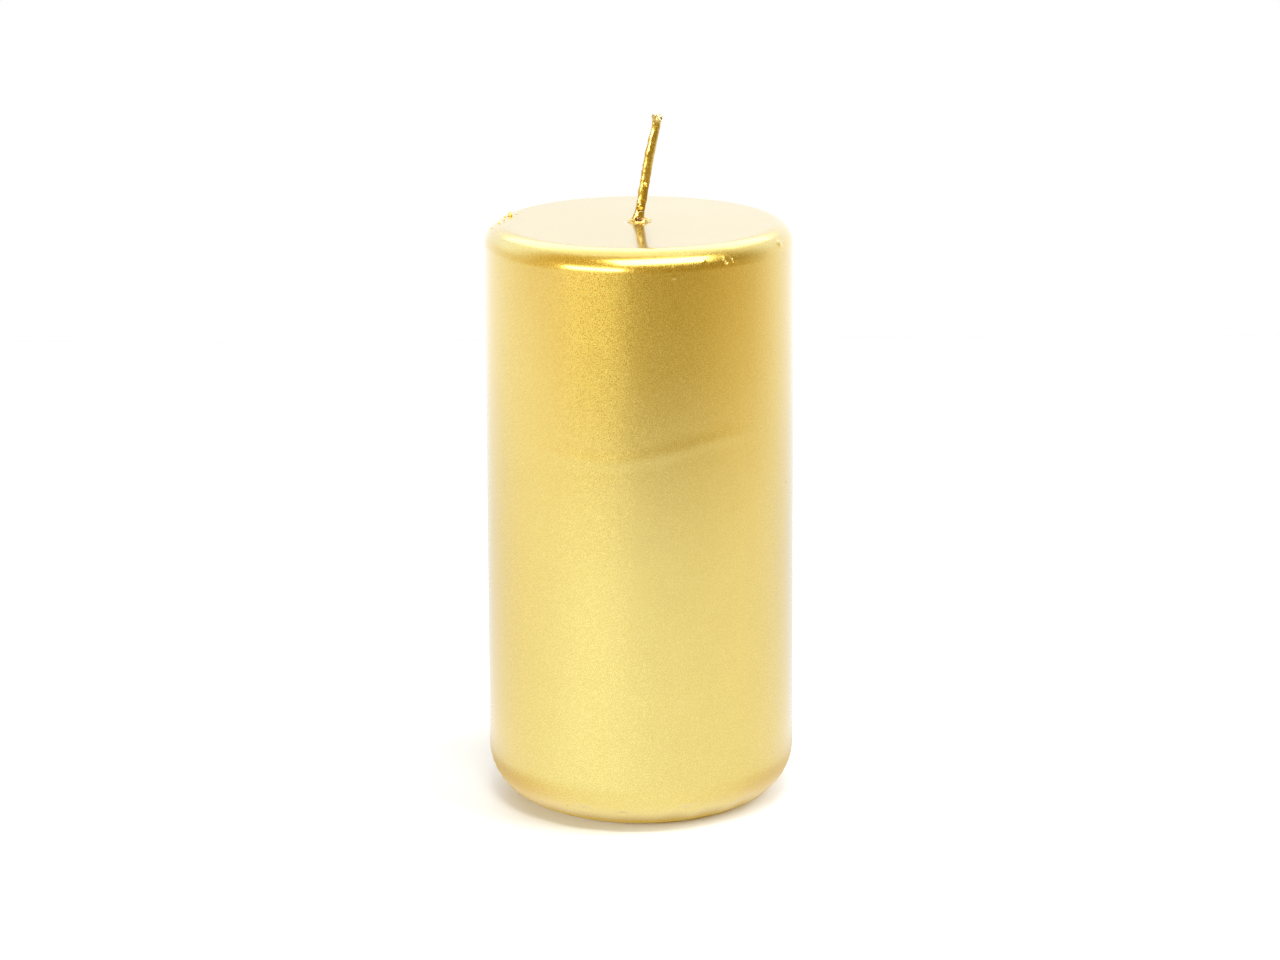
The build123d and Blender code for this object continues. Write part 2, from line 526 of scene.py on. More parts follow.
def body_relief(azimuth, along, points):
    """How far the lacquer stands out from its plain outline."""
    relief = sum(ragged(points, *swell) for swell in BODY_SWELLS)
    radius = np.hypot(points[..., 0], points[..., 1])
    for mark_azimuth, mark_along, height, half_across, half_along in MARKS:
        across = np.radians(turn_from(mark_azimuth, azimuth)) * radius / half_across
        relief = relief + height * np.exp(-across**2 - ((along - mark_along) / half_along) ** 2)
    left, left_from, left_to = CREASE_LEFT
    right, right_from, right_to = CREASE_RIGHT
    crease = CREASE_MIDDLE + left * (1 - smoothstep(left_from, left_to, azimuth))
    crease = OUTLINE.on_wall(crease + right * smoothstep(right_from, right_to, azimuth))
    fade = smoothstep(*CREASE_BEGINS, azimuth) * (1 - smoothstep(*CREASE_ENDS, azimuth))
    relief = relief + CREASE_HEIGHT * fade * np.exp(-(((along - crease) / CREASE_HALF_WIDTH) ** 2))
    low = np.exp(-(((along - OUTLINE.on_foot(FOOT_WAVES_AT)) / FOOT_WAVES_REACH) ** 2))
    runs = smoothstep(*RUNS_BEGIN, azimuth) * (1 - smoothstep(*RUNS_END, azimuth))
    waves = np.sin(np.radians(azimuth) * FOOT_WAVES_ROUND)
    relief = relief + FOOT_WAVES * low * (FOOT_WAVES_LEAST + runs) * waves
    return np.maximum(relief, DEEPEST)


def chip_field(azimuth, along, points):
    """Under 1 inside a chip. Its edge is ragged."""
    field = np.full(azimuth.shape, NO_CHIP)
    for chip_azimuth, chip_along, half_across, half_along in CHIPS:
        across = np.radians(turn_from(chip_azimuth, azimuth)) * TOP_RADIUS / half_across
        reach = np.sqrt(across**2 + ((along - chip_along) / half_along) ** 2)
        field = np.minimum(field, reach * (1 + ragged(points, *CHIP_RAGGED)))
    return field


# Steps of the film's mesh, and where it is finer: from, to, step
AZIMUTH_STEP = 2.6
ALONG_STEP = 2.8
AZIMUTH_ZONES = [
    (-109, -84, 0.52), (-18.5, -14.5, 0.48), (11.6, 13.4, 0.45), (23, 25, 0.45), (31, 38, 0.43),
    (63.5, 66.5, 0.60), (-31.2, -29.8, 0.5), (-24, -21, 0.7), (-8.5, -6.5, 0.7), (4.9, 6.1, 0.4),
    (15.5, 19.5, 0.7),
]
ALONG_ZONES = [
    (OUTLINE.wall_end - 0.6, OUTLINE.shoulder_end + 1.6, 0.26),
    (OUTLINE.on_foot(4.2), OUTLINE.on_foot(7.0), 0.30),
    (OUTLINE.on_wall(12.1), OUTLINE.on_wall(12.7), 0.20),
    (OUTLINE.on_wall(83.0), OUTLINE.on_wall(89.0), 0.55),
    (OUTLINE.on_wall(124.0), OUTLINE.on_wall(124.6), 0.24),
]


def build_body(material):
    """Lacquer film over the whole candle, with its marks as relief and its chips as holes."""
    azimuths = uneven_steps(-180, 180, AZIMUTH_STEP, AZIMUTH_ZONES)[:-1]
    alongs = uneven_steps(0, OUTLINE.length, ALONG_STEP, ALONG_ZONES)
    along, azimuth = np.meshgrid(alongs, azimuths, indexing="ij")
    radius, height, turn = OUTLINE.at(along)
    around = np.radians(azimuth)
    outward = pointing(around, turn)
    plain = on_ring(around, radius, height)
    field = chip_field(azimuth, along, plain)
    relief = body_relief(azimuth, along, plain)
    edge, edge_width = CHIP_EDGE
    relief = relief + CHIP_EDGE_LIFT * np.exp(-(((field - edge) / edge_width) ** 2))
    outer = plain + outward * relief[..., None]
    inner = outer - outward * FILM_THICKNESS * FILM_SHARE
    cell_field = (field[:-1] + field[1:]) / 2
    cell_field = (cell_field + np.roll(cell_field, -1, axis=1)) / 2
    vertices = np.concatenate([outer.reshape(-1, 3), inner.reshape(-1, 3)])
    vertices, faces = compact(vertices, shell_faces(cell_field > 1))
    make_piece("lacquer", vertices, faces, material, "gold_lacquer", "lacquer_coat")


# Crumbs of wax and lacquer that stick up from the rim: azimuth, place along the outline,
# half width, height
CRUMBS = [
    (-103.5, OUTLINE.on_flat(29.0), 0.50, 0.78),
    (-101, OUTLINE.on_shoulder(8), 0.26, 0.30),
    (-99, OUTLINE.on_flat(27.9), 0.13, 0.16),
    (-108, OUTLINE.on_flat(28.3), 0.18, 0.16),
    (-111, OUTLINE.on_flat(27.8), 0.12, 0.12),
    (-93, OUTLINE.on_shoulder(3), 0.30, 0.24),
    (-88, OUTLINE.on_shoulder(14), 0.28, 0.22),
    (-85, OUTLINE.on_shoulder(38), 0.26, 0.22),
    (36.2, OUTLINE.on_shoulder(77), 0.15, 0.15),
    (5.5, OUTLINE.on_wall(12.4), 0.13, 0.10),
    (-30.5, OUTLINE.on_foot(5.2), 0.16, 0.10),
    (70.5, OUTLINE.on_wall(74.0), 0.14, 0.12),
]


CRUMB_RINGS = 9
CRUMB_SIDES = 14
CRUMB_RAGGED = (0.22, 1.1)    # height and wavelength, on a lump of radius 1
CRUMB_LIMIT = 0.4
CRUMB_SEED = 80
CRUMB_FLATNESS = 0.8          # of its width, along the outline
CRUMB_HALF_HEIGHT = 0.60      # of its height
CRUMB_CENTRE = 0.35           # of its height, so that it is sunk a little into the film


def rim_frame(azimuth, along):
    """Point on the outline, with its outward, sideways and upward directions there."""
    radius, height, turn = (float(value) for value in OUTLINE.at(np.array(along)))
    around = math.radians(azimuth)
    outward = pointing(around, turn)
    sideways = np.array((math.cos(around), math.sin(around), 0.0))
    return on_ring(around, radius, height), outward, sideways, np.cross(sideways, outward)


def build_crumbs(material):
    """Small ragged crumbs, each a knobbly closed lump that is sunk a little into the film."""
    rings, sides = CRUMB_RINGS, CRUMB_SIDES
    polar = np.linspace(0, math.pi, rings + 2)[1:-1, None]
    around = round_angles(sides)[None, :]
    ball = np.stack([
        np.sin(polar) * np.cos(around), np.sin(polar) * np.sin(around), np.cos(polar) + 0 * around,
    ], axis=-1).reshape(-1, 3)
    ball = np.concatenate([ball, [(0, 0, 1.0), (0, 0, -1.0)]])
    ball_faces = [(a, d, c, b) for a, b, c, d in ring_faces(rings, sides)]
    top, bottom, last = rings * sides, rings * sides + 1, (rings - 1) * sides
    for side in range(sides):
        right = (side + 1) % sides
        ball_faces.append((top, side, right))
        ball_faces.append((bottom, last + right, last + side))
    parts, faces = [], []
    for index, (azimuth, along, half_width, height) in enumerate(CRUMBS):
        point, outward, sideways, upward = rim_frame(azimuth, along)
        lumps = ragged(ball, *CRUMB_RAGGED, CRUMB_SEED + index, CRUMB_LIMIT)
        lump = ball * (1 + lumps)[:, None]
        faces += [tuple(v + index * len(ball) for v in face) for face in ball_faces]
        parts.append(
            point + lump[:, :1] * half_width * sideways
            + lump[:, 1:2] * half_width * CRUMB_FLATNESS * upward
            + (lump[:, 2:] * CRUMB_HALF_HEIGHT + CRUMB_CENTRE) * height * outward)
    make_piece("rim_crumbs", np.concatenate(parts), faces, material, "dyed_wax")


# ------------------------------------------------------------------ wick


WICK_BEND_POINTS = 9
WICK_LOOK = 0.6               # how far ahead and behind the wick's direction is taken


def wick_centre_line():
    """Points along the middle of the wick, from its foot to its tip, at even steps."""
    corners = [np.array((0.0, WICK_FOOT_Z))]
    corners += [np.array((offset, HEIGHT + rise)) for offset, rise in WICK_ROUTE]
    points = [corners[0]]
    for index, radius in enumerate(WICK_ROUTE_RADII, start=1):
        before, corner, after = corners[index - 1:index + 2]
        arrive = (corner - before) / np.linalg.norm(corner - before)
        leave = (after - corner) / np.linalg.norm(after - corner)
        reach = radius * math.tan(math.acos(min(1.0, arrive @ leave)) / 2)
        for t in np.linspace(0, 1, WICK_BEND_POINTS):
            start, end = corner - arrive * reach, corner + leave * reach
            points.append((1 - t) ** 2 * start + 2 * t * (1 - t) * corner + t**2 * end)
    points += corners[-2:]
    points = np.array(points)
    lengths = np.concatenate([[0], np.cumsum(np.linalg.norm(np.diff(points, axis=0), axis=1))])
    return points, lengths


WICK_POINTS, WICK_LENGTHS = wick_centre_line()
WICK_LENGTH = WICK_LENGTHS[-1]


def wick_frame(along):
    """Centre, direction and sideways direction of the wick, as arrays in 3-D."""
    def centre(place):
        x = np.interp(place, WICK_LENGTHS, WICK_POINTS[:, 0])
        z = np.interp(place, WICK_LENGTHS, WICK_POINTS[:, 1])
        return np.stack([x, np.zeros_like(x), z], axis=-1)

    ahead = centre(np.minimum(along + WICK_LOOK, WICK_LENGTH))
    behind = centre(np.maximum(along - WICK_LOOK, 0))
    direction = ahead - behind
    direction /= np.linalg.norm(direction, axis=-1)[..., None]
    sideways = np.stack([direction[..., 2], 0 * direction[..., 1], -direction[..., 0]], axis=-1)
    return centre(along), direction, sideways


def strand_offset(along, number):
    """Sideways and outward place of a strand in the flat plait."""
    phase = 2 * math.pi * (along / PLAIT_PITCH + PLAIT_START_PHASE + number / STRANDS)
    return PLAIT_HALF_WIDTH * np.sin(phase), PLAIT_HALF_THICKNESS * np.sin(2 * phase)


def tube(path, radius_at, sides):
    """Vertices and faces of a closed tube round a path. radius_at gives radii by row and angle."""
    direction = np.gradient(path, axis=0)
    direction /= np.linalg.norm(direction, axis=1)[:, None]
    side = np.cross(direction, THROUGH)
    side /= np.linalg.norm(side, axis=1)[:, None]
    up = np.cross(side, direction)
    angles = round_angles(sides)
    rows = np.arange(len(path))
    radii = radius_at(rows[:, None], angles[None, :])
    rings = path[:, None] + radii[..., None] * (
        np.cos(angles)[None, :, None] * side[:, None] + np.sin(angles)[None, :, None] * up[:, None])
    vertices = rings.reshape(-1, 3)
    faces = ring_faces(len(path), sides)
    faces.append(tuple(range(sides - 1, -1, -1)))
    last = (len(path) - 1) * sides
    faces.append(tuple(range(last, last + sides)))
    return vertices, faces


STRAND_SIDES = 12
STRAND_SEED = 40
STRAND_TIP_GAP = 0.15         # the first strand ends that far below the wick's tip
STRAND_STAGGER = 0.35         # and each further one that much lower
YARN_PLIES = 3
YARN_TWIST = 1.9              # radians that the plies turn in each millimetre
YARN_STEP = 0.22
YARN_GROOVE = 0.14            # of the radius, between the plies
FRAYS_PER_STRAND = 12
FRAY_LENGTH = 0.9
FRAY_REACH = (0.5, 1.0)       # parts of that length
FRAY_SPLAY = (0.15, 0.9)
FRAY_START_RADIUS = (0.02, 0.17)
FRAY_ROOT = 0.15              # how far below the strand's end a fibre starts
FRAY_RADIUS = 0.045
FRAY_SIDES = 5
FRAY_POINTS = 7
FRAY_TAPER_ROWS = 9


def build_strand(number, material):
    """Strand of twisted plies, with the loose fibres of its cut end."""
    draw = np.random.default_rng(STRAND_SEED + number)
    end = WICK_LENGTH - STRAND_TIP_GAP - STRAND_STAGGER * number
    along = np.linspace(0, end, int(end / YARN_STEP))
    centre, direction, sideways = wick_frame(along)
    side, out = strand_offset(along, number)
    path = centre + sideways * side[:, None] + THROUGH * out[:, None]

    def yarn_radius(rows, angles):
        twist = rows * YARN_STEP * YARN_TWIST
        plies = np.abs(np.cos((angles - twist) * YARN_PLIES / 2))
        return STRAND_RADIUS * (1 - YARN_GROOVE + YARN_GROOVE * plies)

    def fray_radius(rows, angles):
        return FRAY_RADIUS * (1 - rows / FRAY_TAPER_ROWS) + 0 * angles

    vertices, faces = tube(path, yarn_radius, STRAND_SIDES)
    parts, all_faces, count = [vertices], list(faces), len(vertices)
    tip, lead = path[-1], direction[-1]
    for _ in range(FRAYS_PER_STRAND):
        around = draw.uniform(0, 2 * math.pi)
        splay = draw.uniform(*FRAY_SPLAY)
        start_radius = draw.uniform(*FRAY_START_RADIUS)
        spin = math.cos(around) * sideways[-1] + math.sin(around) * THROUGH
        reach = draw.uniform(*FRAY_REACH) * FRAY_LENGTH
        t = np.linspace(0, 1, FRAY_POINTS)[:, None]
        root = tip - lead * FRAY_ROOT + spin * start_radius
        fibre = root + lead * reach * t + spin * splay * reach * t**2
        fibre_vertices, fibre_faces = tube(fibre, fray_radius, FRAY_SIDES)
        parts.append(fibre_vertices)
        all_faces += [tuple(v + count for v in face) for face in fibre_faces]
        count += len(fibre_vertices)
    name = f"strand_{number + 1}"
    make_piece(name, np.concatenate(parts), all_faces, material, "cotton", f"wick_{name}")


FILM_SIDES = 64
FILM_ROWS = 200
FILM_START_RISE = 1.05
FILM_END_GAP = 0.25
WICK_FILM = 0.08
FILM_HALF_WIDTH = 1.06        # of the smooth skin that bridges the strands
FILM_HALF_THICKNESS = 0.88
FILM_SQUARENESS = 2.8
FILM_CLEARANCE = 0.02         # between a strand and the film over it
FILM_DIP = 1.3                # slope by which the film falls off beside a strand
FILM_BLEND = 0.04
FILM_RADIUS = 1.1             # about its mean, which the noise runs round on

# Ragged ends and swells of the film: height, wavelength, seed
FILM_START_RAGGED = (0.16, 0.8, 51)
FILM_END_RAGGED = (0.20, 0.7, 52)
FILM_SWELL = (0.014, 2.4, 53)
FILM_TIP_SWELL = (0.4, 1.0, 55)
CRACK_RAGGED = (0.4, 0.5, 56, 0.6)

# A tongue of film still reaches down to the collar on the side away from the lean
TONGUE_FROM = (0.35, 0.95)
TONGUE_SKEW = 0.25
TONGUE_REACH = 0.85
# The tip is notched at the front
NOTCH_FROM = (0.2, 0.9)
NOTCH_SKEW = 0.5
NOTCH_DEPTH = 0.55
# The skin is pimpled on the side away from the lean, and smoother elsewhere
PIMPLES_LEAST = 0.003
PIMPLES_MORE = 0.019
PIMPLES_FROM = (0.55, 0.97)
PIMPLE_SIZE = 0.75
PIMPLE_SEED = 54
# It flares at its foot and at its tip, and is thinner just below the tip
FOOT_FLARE = 0.22
FOOT_FLARE_AT_TONGUE = 0.30
FOOT_FLARE_FADES = (0.2, 3.4)
TIP_FLARE = 0.16
TIP_FLARE_LENGTH = 2.2
THIN_FROM = (15.0, 20.5)
THINNER = 0.10

# Drops on the film: rise above the top, degrees round the wick from its leaning side (the front
# is at -90), height, size
DROPS = [
    (8.4, -66, 0.20, 0.28),
    (3.5, -95, 0.24, 0.50),
    (3.3, -125, 0.16, 0.45),
    (15.2, 178, 0.12, 0.42),
    (12.4, 186, 0.13, 0.40),
    (10.9, 174, 0.10, 0.45),
    (6.6, 180, 0.12, 0.55),
    (18.0, 185, 0.10, 0.40),
    (5.0, -20, 0.08, 0.70),
]

# Cracks through the film: rise, degrees round the wick, half width, half height
CRACKS = [
    (2.55, -72, 0.50, 0.16),
    (2.35, -112, 0.30, 0.12),
]


def build_wick_film(material):
    """Stiff skin of lacquer round the plait, open at its ends and cracked off at its foot."""
    angles, circle = round_angles(FILM_SIDES), round_points(FILM_SIDES)
    cos, sin = circle[None, :, 0], circle[None, :, 1]
    top_along = np.interp(HEIGHT, WICK_POINTS[:, 1], WICK_LENGTHS)
    tongue = smoothstep(*TONGUE_FROM, -circle[:, 0] + TONGUE_SKEW * circle[:, 1])
    start = top_along + FILM_START_RISE - TONGUE_REACH * tongue + ragged(circle, *FILM_START_RAGGED)
    end = WICK_LENGTH - FILM_END_GAP + ragged(circle, *FILM_END_RAGGED)
    end = end - NOTCH_DEPTH * smoothstep(*NOTCH_FROM, circle[:, 0] * NOTCH_SKEW - circle[:, 1])
    along = start + (end - start) * np.linspace(0, 1, FILM_ROWS + 1)[:, None]
    rise = along - top_along
    centre, _, sideways = wick_frame(along)
    across, through = np.abs(cos) / FILM_HALF_WIDTH, np.abs(sin) / FILM_HALF_THICKNESS
    skin = (across**FILM_SQUARENESS + through**FILM_SQUARENESS) ** (-1 / FILM_SQUARENESS)
    layers = [skin + 0 * along]
    reach = STRAND_RADIUS + WICK_FILM + FILM_CLEARANCE
    for number in range(STRANDS):
        side, out = strand_offset(along, number)
        forward = side * cos + out * sin
        apart = np.abs(side * sin - out * cos)
        inside = np.sqrt(np.maximum(reach**2 - apart**2, 0))
        layers.append(forward + inside - FILM_DIP * np.maximum(apart - reach, 0))
    radius = FILM_BLEND * np.log(np.exp(np.stack(layers) / FILM_BLEND).sum(axis=0))
    space = np.stack([
        along + 0 * cos, FILM_RADIUS * cos + 0 * along, FILM_RADIUS * sin + 0 * along,
    ], axis=-1)
    radius = radius + ragged(space, *FILM_SWELL)
    pimpled = PIMPLES_LEAST + PIMPLES_MORE * smoothstep(*PIMPLES_FROM, -cos)
    radius = radius + pimpled * soft_noise(space, PIMPLE_SIZE, PIMPLE_SEED)

    def apart_from(mark_rise, degrees, half_width, half_height):
        turn = (angles - math.radians(degrees) + math.pi) % (2 * math.pi) - math.pi
        return (turn[None, :] * radius / half_width) ** 2 + ((rise - mark_rise) / half_height) ** 2

    for drop_rise, degrees, height, size in DROPS:
        radius = radius + height * np.exp(-apart_from(drop_rise, degrees, size, size))
    cracked = np.full(rise.shape, NO_CHIP)
    for crack in CRACKS:
        cracked = np.minimum(cracked, apart_from(*crack))
    cracked = cracked * (1 + ragged(space, *CRACK_RAGGED))
    foot_flare = 1 - smoothstep(*FOOT_FLARE_FADES, rise)
    radius = radius + foot_flare**2 * (FOOT_FLARE + FOOT_FLARE_AT_TONGUE * tongue)
    tip_flare = smoothstep(-TIP_FLARE_LENGTH, 0.0, along - WICK_LENGTH)
    radius = radius + TIP_FLARE * tip_flare**2 * (1.0 + ragged(circle, *FILM_TIP_SWELL))
    radius = radius - THINNER * smoothstep(*THIN_FROM, rise) * (1 - tip_flare)
    out_direction = cos[..., None] * sideways + sin[..., None] * THROUGH
    outer = centre + out_direction * radius[..., None]
    inner = centre + out_direction * (radius - WICK_FILM)[..., None]
    vertices = np.concatenate([outer.reshape(-1, 3), inner.reshape(-1, 3)])
    kept = (cracked[:-1] + cracked[1:]) / 2 > 1
    vertices, faces = compact(vertices, shell_faces(kept))
    make_piece("wick_film", vertices, faces, material, "wick_lacquer", "wick_sleeve")


# Section of the collar: radius and rise above the top, from its outer edge inwards
COLLAR_SECTION = [
    (2.62, -0.03), (2.56, 0.03), (2.46, 0.10), (2.38, 0.20), (2.32, 0.38), (2.24, 0.53),
    (2.13, 0.61), (2.02, 0.57), (1.94, 0.43), (1.86, 0.22), (1.66, 0.13), (1.30, 0.09),
    (0.92, 0.07), (0.92, -0.03),
]
COLLAR_SIDES = 72
COLLAR_NOISE_RADIUS = 2.0
COLLAR_WIDEN = (0.05, 2.2, 61)
COLLAR_LIFT = (0.16, 1.8, 62)
COLLAR_TILT = 0.12            # it is higher on the side that the wick leans to
COLLAR_STILL_RADIUS = 0.9     # where it hugs the wick and is round
COLLAR_SPAN = 1.7
COLLAR_FLATNESS = 0.97


def build_collar(material):
    """Low ring of wax that ran down the wick: hollow outer slope, and a rolled lip round it."""
    circle = round_points(COLLAR_SIDES)
    widen = 1 + ragged(circle * COLLAR_NOISE_RADIUS, *COLLAR_WIDEN)
    lift = 1 + ragged(circle * COLLAR_NOISE_RADIUS, *COLLAR_LIFT) + COLLAR_TILT * circle[:, 0]
    rings = []
    for radius, rise in COLLAR_SECTION:
        wide = radius * (1 + (widen - 1) * (radius - COLLAR_STILL_RADIUS) / COLLAR_SPAN)
        height = np.where(rise > 0, rise * lift, rise)
        rings.append(np.stack([
            circle[:, 0] * wide, circle[:, 1] * wide * COLLAR_FLATNESS, HEIGHT + height,
        ], axis=-1))
    vertices = np.array(rings)
    faces = ring_faces(len(rings), COLLAR_SIDES, wrap=True)
    collar = make_piece(
        "collar", vertices.reshape(-1, 3), faces, material, "gold_wax", "wick_collar")
    smooth = collar.modifiers.new("subdivision", "SUBSURF")
    smooth.levels = smooth.render_levels = 1


# ------------------------------------------------------------------ the object

build_body(gold_lacquer())
build_crumbs(crumb_wax())
build_collar(gold_wax())
build_wick_film(wick_lacquer())
cotton_material = cotton()
for number in range(STRANDS):
    build_strand(number, cotton_material)

hidden_materials = {
    "wax_core": paraffin(), "overdip_jacket": dyed_wax(), "wick_sustainer": tinplate(),
}
for node, material in hidden_materials.items():
    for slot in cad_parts[node].material_slots:
        slot.material = material

# ------------------------------------------------------------------ stage: floor, light, camera

WHITE = np.array((0.98, 0.99, 1.02))
WARM = np.array((1.0, 0.68, 0.15))

# Radiance of the studio round the candle: azimuth, light, warmth. It is dark and warm in front,
# and a warmth under 0 is cool.
# The middle and high rings are the surroundings, and the far, near and foot rings are the floor
MIDDLE_RING = [
    (-180, 1.18, 0.0), (-147, 1.25, 0.0), (-115, 1.30, 0.2), (-90, 1.05, 0.65), (-60, 0.98, 0.85),
    (-38, 0.60, 1.0), (0, 0.60, 1.0), (40, 0.48, 1.0), (68, 0.68, 0.95), (93, 0.78, 0.75),
    (115, 1.40, 0.1), (147, 1.35, 0.0), (180, 1.18, 0.0),
]
HIGH_RING = [
    (-180, 1.05, 0.0), (-150, 1.20, -0.1), (-125, 1.50, -0.4), (-108, 1.45, -0.1), (-85, 0.95, 0.85),
    (-60, 0.90, 0.95), (-20, 0.75, 1.0), (40, 0.35, 1.0), (70, 0.40, 1.0), (95, 0.60, 0.9),
    (118, 1.45, -0.1), (146, 1.30, -0.2), (180, 1.05, 0.0),
]
FAR_RING = [
    (-180, 1.25, 0.0), (-147, 1.27, 0.0), (-105, 1.45, 0.05), (-83, 1.52, 0.05), (-60, 1.36, 0.40),
    (-38, 0.58, 0.95), (0, 0.52, 1.0), (40, 0.56, 1.0), (68, 1.00, 0.80), (93, 1.16, 0.55),
    (119, 1.32, 0.15), (147, 1.27, 0.0), (180, 1.25, 0.0),
]
# Darker and warmer at the back and sides: painted shadow of the candle on the floor, warmed by
# painted gold bounce from it
FOOT_RING = [
    (-180, 0.60, 0.8), (-110, 0.62, 0.95), (-66, 1.15, 0.6), (-36, 1.42, 0.0), (0, 1.43, -0.1),
    (36, 1.38, 0.0), (66, 1.15, 0.4), (110, 0.80, 0.8), (180, 0.60, 0.8),
]
# Dips towards the back corners: painted soft shadow of the candle on the floor
NEAR_RING = [
    (-180, 1.10, 0.0), (-147, 0.98, 0.10), (-105, 1.30, 0.10), (-75, 1.38, -0.05), (-40, 1.46, -0.30),
    (0, 1.40, -0.20), (60, 1.38, -0.05), (105, 1.30, 0.05), (147, 0.98, 0.05), (180, 1.10, 0.0),
]
HIGH_FROM = (4.0, 22.0)       # degrees up, where the middle ring gives way to the high one
OVERHEAD_FROM = (55.0, 75.0)
OVERHEAD_FRONT = (0.62, 1.0)  # light and warmth
OVERHEAD_BACK = (1.65, 0.0)
OVERHEAD_BACK_FROM = (-0.34, 0.02)      # how far back a direction points, as a part of its length
RING_SCALE = 2.0

# The floor in reflections: radii in millimetres, where the light beside the contact begins, where
# the foot ring gives way to the near one, and where that fades into the far one
BOUNCE_BEGINS = (25.5, 33.5)
BOUNCE_NEAR = (36.0, 70.0)
BOUNCE_FADES = (200.0, 560.0)
# Painted contact shadow of the candle's foot on the floor, tinted by painted gold bounce from the
# candle
BOUNCE_CONTACT_SHADOW = (0.66, 0.46, 0.08)
BOUNCE_REACH = 0.65
FLOOR_REACH = 0.45


def shade(light, warmth):
    """Colour of light, as a socket value that RING_SCALE brings to full strength."""
    return rgb(*(light / RING_SCALE * (WHITE + warmth * (WARM - WHITE))))


class StageShader(Nodes):
    """Nodes of the surroundings, which are seen in reflections."""

    def __init__(self, tree):
        super().__init__(tree)
        tree.nodes.clear()

    def math(self, operation, *values):
        return self.node("ShaderNodeMath", {"operation": operation}, *values).outputs[0]

    def turn(self, x, y):
        """Azimuth as 0 to 1 for -180 to 180 degrees."""
        azimuth = self.math("ARCTAN2", x, self.math("MULTIPLY", y, -1.0))
        return self.node("ShaderNodeMapRange", None, azimuth, -math.pi, math.pi).outputs[0]

    def ring(self, turn, lights):
        """Light all round, blended between (azimuth, light, warmth) points."""
        made = self.node("ShaderNodeValToRGB", None, turn)
        ramp = made.color_ramp
        ramp.interpolation = "B_SPLINE"
        while len(ramp.elements) < len(lights):
            ramp.elements.new(0.5)
        for element, (azimuth, light, warmth) in zip(ramp.elements, lights):
            element.position = (azimuth + 180) / 360
            element.color = shade(light, warmth)
        return made.outputs[0]


def sine(degrees):
    """Height of a direction at that elevation."""
    return math.sin(math.radians(degrees))


def build_world():
    """Studio surroundings: bright behind and at both sides, dark in front."""
    world = bpy.data.worlds.new("studio")
    bpy.context.scene.world = world
    world.use_nodes = True
    shader = StageShader(world.node_tree)
    direction = shader.node("ShaderNodeTexCoord").outputs["Generated"]
    x, y, z = shader.node("ShaderNodeSeparateXYZ", None, direction).outputs[:3]
    turn = shader.turn(x, y)
    is_high = shader.spread(z, *map(sine, HIGH_FROM))
    sides = shader.mix(is_high, shader.ring(turn, MIDDLE_RING), shader.ring(turn, HIGH_RING))
    is_back = shader.spread(y, *OVERHEAD_BACK_FROM)
    overhead = shader.mix(is_back, shade(*OVERHEAD_FRONT), shade(*OVERHEAD_BACK))
    sky = shader.mix(shader.spread(z, *map(sine, OVERHEAD_FROM)), sides, overhead)
    studio = shader.node("ShaderNodeBackground", None, sky, RING_SCALE).outputs[0]
    white = shader.node("ShaderNodeBackground", None, rgb(1.0, 1.0, 1.0), 1.0).outputs[0]
    camera_ray = shader.node("ShaderNodeLightPath").outputs["Is Camera Ray"]
    shown = shader.node("ShaderNodeMixShader", None, camera_ray, studio, white).outputs[0]
    shader.node("ShaderNodeOutputWorld", None, shown)
    world.cycles_visibility.diffuse = False


def stage_sheet(name, reach, height, material):
    """Square sheet round the candle, in metres."""
    mesh = bpy.data.meshes.new(name)
    corners = [(-reach, -reach), (reach, -reach), (reach, reach), (-reach, reach)]
    mesh.from_pydata([(x, y, height) for x, y in corners], [], [(0, 1, 2, 3)])
    mesh.materials.append(material)
    sheet = bpy.data.objects.new(name, mesh)
    bpy.context.scene.collection.objects.link(sheet)
    return sheet


def build_floor():
    """Pale floor, and a glowing card just under it that stands for the floor in reflections, with the
    candle's shadow and gold bounce painted into its glow.
    """
    shader = PieceShader("pale_floor", IOR=1.45)
    cloud = shader.noise(60.0, detail=2.0)
    shader.colour(shader.mix(cloud, rgb(0.86, 0.855, 0.84), rgb(0.88, 0.875, 0.86)))
    shader.rough(cloud, 0.42, 0.5)
    floor = stage_sheet("floor", FLOOR_REACH, 0.0, shader.material)
    floor.visible_glossy = False

    material = bpy.data.materials.new("floor_bounce")
    material.use_nodes = True
    card = StageShader(material.node_tree)
    place = card.node("ShaderNodeTexCoord").outputs["Object"]
    x, y = card.node("ShaderNodeSeparateXYZ", None, place).outputs[:2]
    squares = card.math("ADD", card.math("POWER", x, 2.0), card.math("POWER", y, 2.0))
    distance = card.math("SQRT", squares)
    turn = card.turn(x, y)
    is_far, is_near, is_clear = (
        card.spread(distance, low * MM, high * MM)
        for low, high in (BOUNCE_FADES, BOUNCE_NEAR, BOUNCE_BEGINS))
    light = card.mix(is_far, card.ring(turn, NEAR_RING), card.ring(turn, FAR_RING))
    light = card.mix(is_near, card.ring(turn, FOOT_RING), light)
    # painted contact shadow under the foot, in the card's glow
    contact = rgb(*(part / RING_SCALE for part in BOUNCE_CONTACT_SHADOW))
    light = card.mix(is_clear, contact, light)
    glow = card.node("ShaderNodeEmission", None, light, RING_SCALE).outputs[0]
    card.node("ShaderNodeOutputMaterial", None, glow)
    bounce = stage_sheet("floor_bounce", BOUNCE_REACH, -MM, material)
    bounce.visible_camera = False
    bounce.visible_diffuse = False
    bounce.visible_shadow = False


